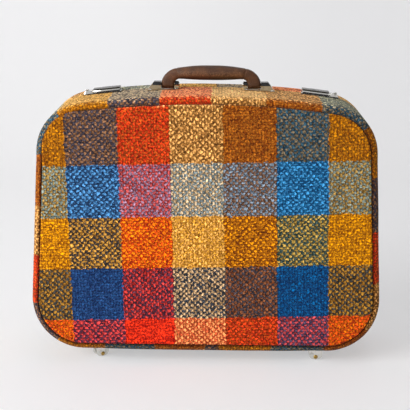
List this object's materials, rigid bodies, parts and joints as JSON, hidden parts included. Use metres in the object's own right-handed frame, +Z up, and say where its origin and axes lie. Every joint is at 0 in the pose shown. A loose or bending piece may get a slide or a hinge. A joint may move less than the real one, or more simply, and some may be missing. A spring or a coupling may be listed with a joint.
{
  "type": "suitcase",
  "caption": "Upright travel case covered in woven block check cloth, with a lid hinged at the bottom, a folding handle, hasp latches and swivel castors.",
  "frame": {"origin": "on the floor below the middle of the case, where the castors stand", "axes": "+X along the width to the viewer's right, +Y from the front face to the back, +Z up"},
  "size_m": [0.48, 0.1444, 0.4057],
  "materials": {
    "cloth": "woven block check tweed",
    "board": "moulded fibreboard",
    "lining": "plain woven lining",
    "ply": "bent plywood",
    "grip": "grained, polished by use",
    "dark_steel": "gloss black with bright edges",
    "plated_steel": "bright nickel plate",
    "brass": "dulled"
  },
  "bodies": {
    "base": {"base_shell": "board", "base_side_cover": "cloth", "base_face_cover": "cloth", "base_lining": "lining", "closing_hoop": "ply", "handle_rivets": "plated_steel", "lock_rivets": "plated_steel", "base_bottom_rivets": "plated_steel", "handle_bracket_left": "dark_steel", "handle_bracket_right": "dark_steel", "handle_pin_left": "plated_steel", "handle_pin_right": "plated_steel", "lock_plate_left": "plated_steel", "lock_plate_right": "plated_steel", "hinge_base_leaf_left": "plated_steel", "hinge_base_leaf_right": "plated_steel", "hinge_pin_left": "plated_steel", "hinge_pin_right": "plated_steel", "castor_plate_front_left": "plated_steel", "castor_plate_front_right": "plated_steel", "castor_kingpin_front_left": "plated_steel", "castor_kingpin_front_right": "plated_steel"},
    "lid": {"lid_shell": "board", "lid_side_cover": "cloth", "lid_face_cover": "cloth", "lid_lining": "lining", "hasp_plate_rivets": "plated_steel", "lid_bottom_rivets": "plated_steel", "hasp_plate_left": "plated_steel", "hasp_plate_right": "plated_steel", "hasp_pin_left": "plated_steel", "hasp_pin_right": "plated_steel", "hinge_lid_leaf_left": "plated_steel", "hinge_lid_leaf_right": "plated_steel", "castor_plate_rear_left": "plated_steel", "castor_plate_rear_right": "plated_steel", "castor_kingpin_rear_left": "plated_steel", "castor_kingpin_rear_right": "plated_steel"},
    "handle": {"handle_grip": "grip", "handle_end_left": "grip", "handle_end_right": "grip"},
    "left_hasp": {"hasp_left": "plated_steel", "hasp_cheek_left": "plated_steel"},
    "left_slide": {"latch_slide_left": "plated_steel"},
    "right_hasp": {"hasp_right": "plated_steel", "hasp_cheek_right": "plated_steel"},
    "right_slide": {"latch_slide_right": "plated_steel"},
    "front_left_fork": {"castor_fork_front_left": "plated_steel", "castor_axle_front_left": "brass"},
    "front_left_roller": {"castor_wheel_front_left": "plated_steel"},
    "front_right_fork": {"castor_fork_front_right": "plated_steel", "castor_axle_front_right": "brass"},
    "front_right_roller": {"castor_wheel_front_right": "plated_steel"},
    "rear_left_fork": {"castor_fork_rear_left": "plated_steel", "castor_axle_rear_left": "brass"},
    "rear_left_roller": {"castor_wheel_rear_left": "plated_steel"},
    "rear_right_fork": {"castor_fork_rear_right": "plated_steel", "castor_axle_rear_right": "brass"},
    "rear_right_roller": {"castor_wheel_rear_right": "plated_steel"}
  },
  "joints": [
    {"name": "lid_hinge", "type": "hinge", "parent": "base", "child": "lid", "pos_m": [0, 0.027, 0.0154], "axis": [-1, 0, 0], "range_deg": [0, 105]},
    {"name": "handle_pivot", "type": "hinge", "parent": "base", "child": "handle", "pos_m": [0.0044, 0.01, 0.3799], "axis": [1, 0, 0], "range_deg": [-65, 65]},
    {"name": "left_hasp_pivot", "type": "hinge", "parent": "lid", "child": "left_hasp", "pos_m": [-0.14108, 0.033, 0.37014], "axis": [-0.9935, 0, -0.1141], "range_deg": [0, 110]},
    {"name": "left_bolt_slide", "type": "slide", "parent": "base", "child": "left_slide", "axis": [0.9935, 0, 0.1141], "range_m": [0, 0.0043]},
    {"name": "right_hasp_pivot", "type": "hinge", "parent": "lid", "child": "right_hasp", "pos_m": [0.14991, 0.033, 0.36913], "axis": [-0.9927, 0, 0.121], "range_deg": [0, 110]},
    {"name": "right_bolt_slide", "type": "slide", "parent": "base", "child": "right_slide", "axis": [-0.9927, 0, 0.121], "range_m": [0, 0.0043]},
    {"name": "front_left_swivel", "type": "hinge", "parent": "base", "child": "front_left_fork", "pos_m": [-0.151, -0.045, 0.015], "axis": [0, 0, 1], "continuous": true},
    {"name": "front_left_roll", "type": "hinge", "parent": "front_left_fork", "child": "front_left_roller", "pos_m": [-0.14768, -0.04276, 0.005], "axis": [-0.5592, 0.829, 0], "continuous": true},
    {"name": "front_right_swivel", "type": "hinge", "parent": "base", "child": "front_right_fork", "pos_m": [0.151, -0.045, 0.015], "axis": [0, 0, 1], "continuous": true},
    {"name": "front_right_roll", "type": "hinge", "parent": "front_right_fork", "child": "front_right_roller", "pos_m": [0.155, -0.045, 0.005], "axis": [0, 1, 0], "continuous": true},
    {"name": "rear_left_swivel", "type": "hinge", "parent": "lid", "child": "rear_left_fork", "pos_m": [-0.151, 0.049, 0.015], "axis": [0, 0, 1], "continuous": true},
    {"name": "rear_left_roll", "type": "hinge", "parent": "rear_left_fork", "child": "rear_left_roller", "pos_m": [-0.15476, 0.05037, 0.005], "axis": [-0.342, -0.9397, 0], "continuous": true},
    {"name": "rear_right_swivel", "type": "hinge", "parent": "lid", "child": "rear_right_fork", "pos_m": [0.151, 0.049, 0.015], "axis": [0, 0, 1], "continuous": true},
    {"name": "rear_right_roll", "type": "hinge", "parent": "rear_right_fork", "child": "rear_right_roller", "pos_m": [0.15463, 0.05069, 0.005], "axis": [-0.4226, 0.9063, 0], "continuous": true}
  ]
}
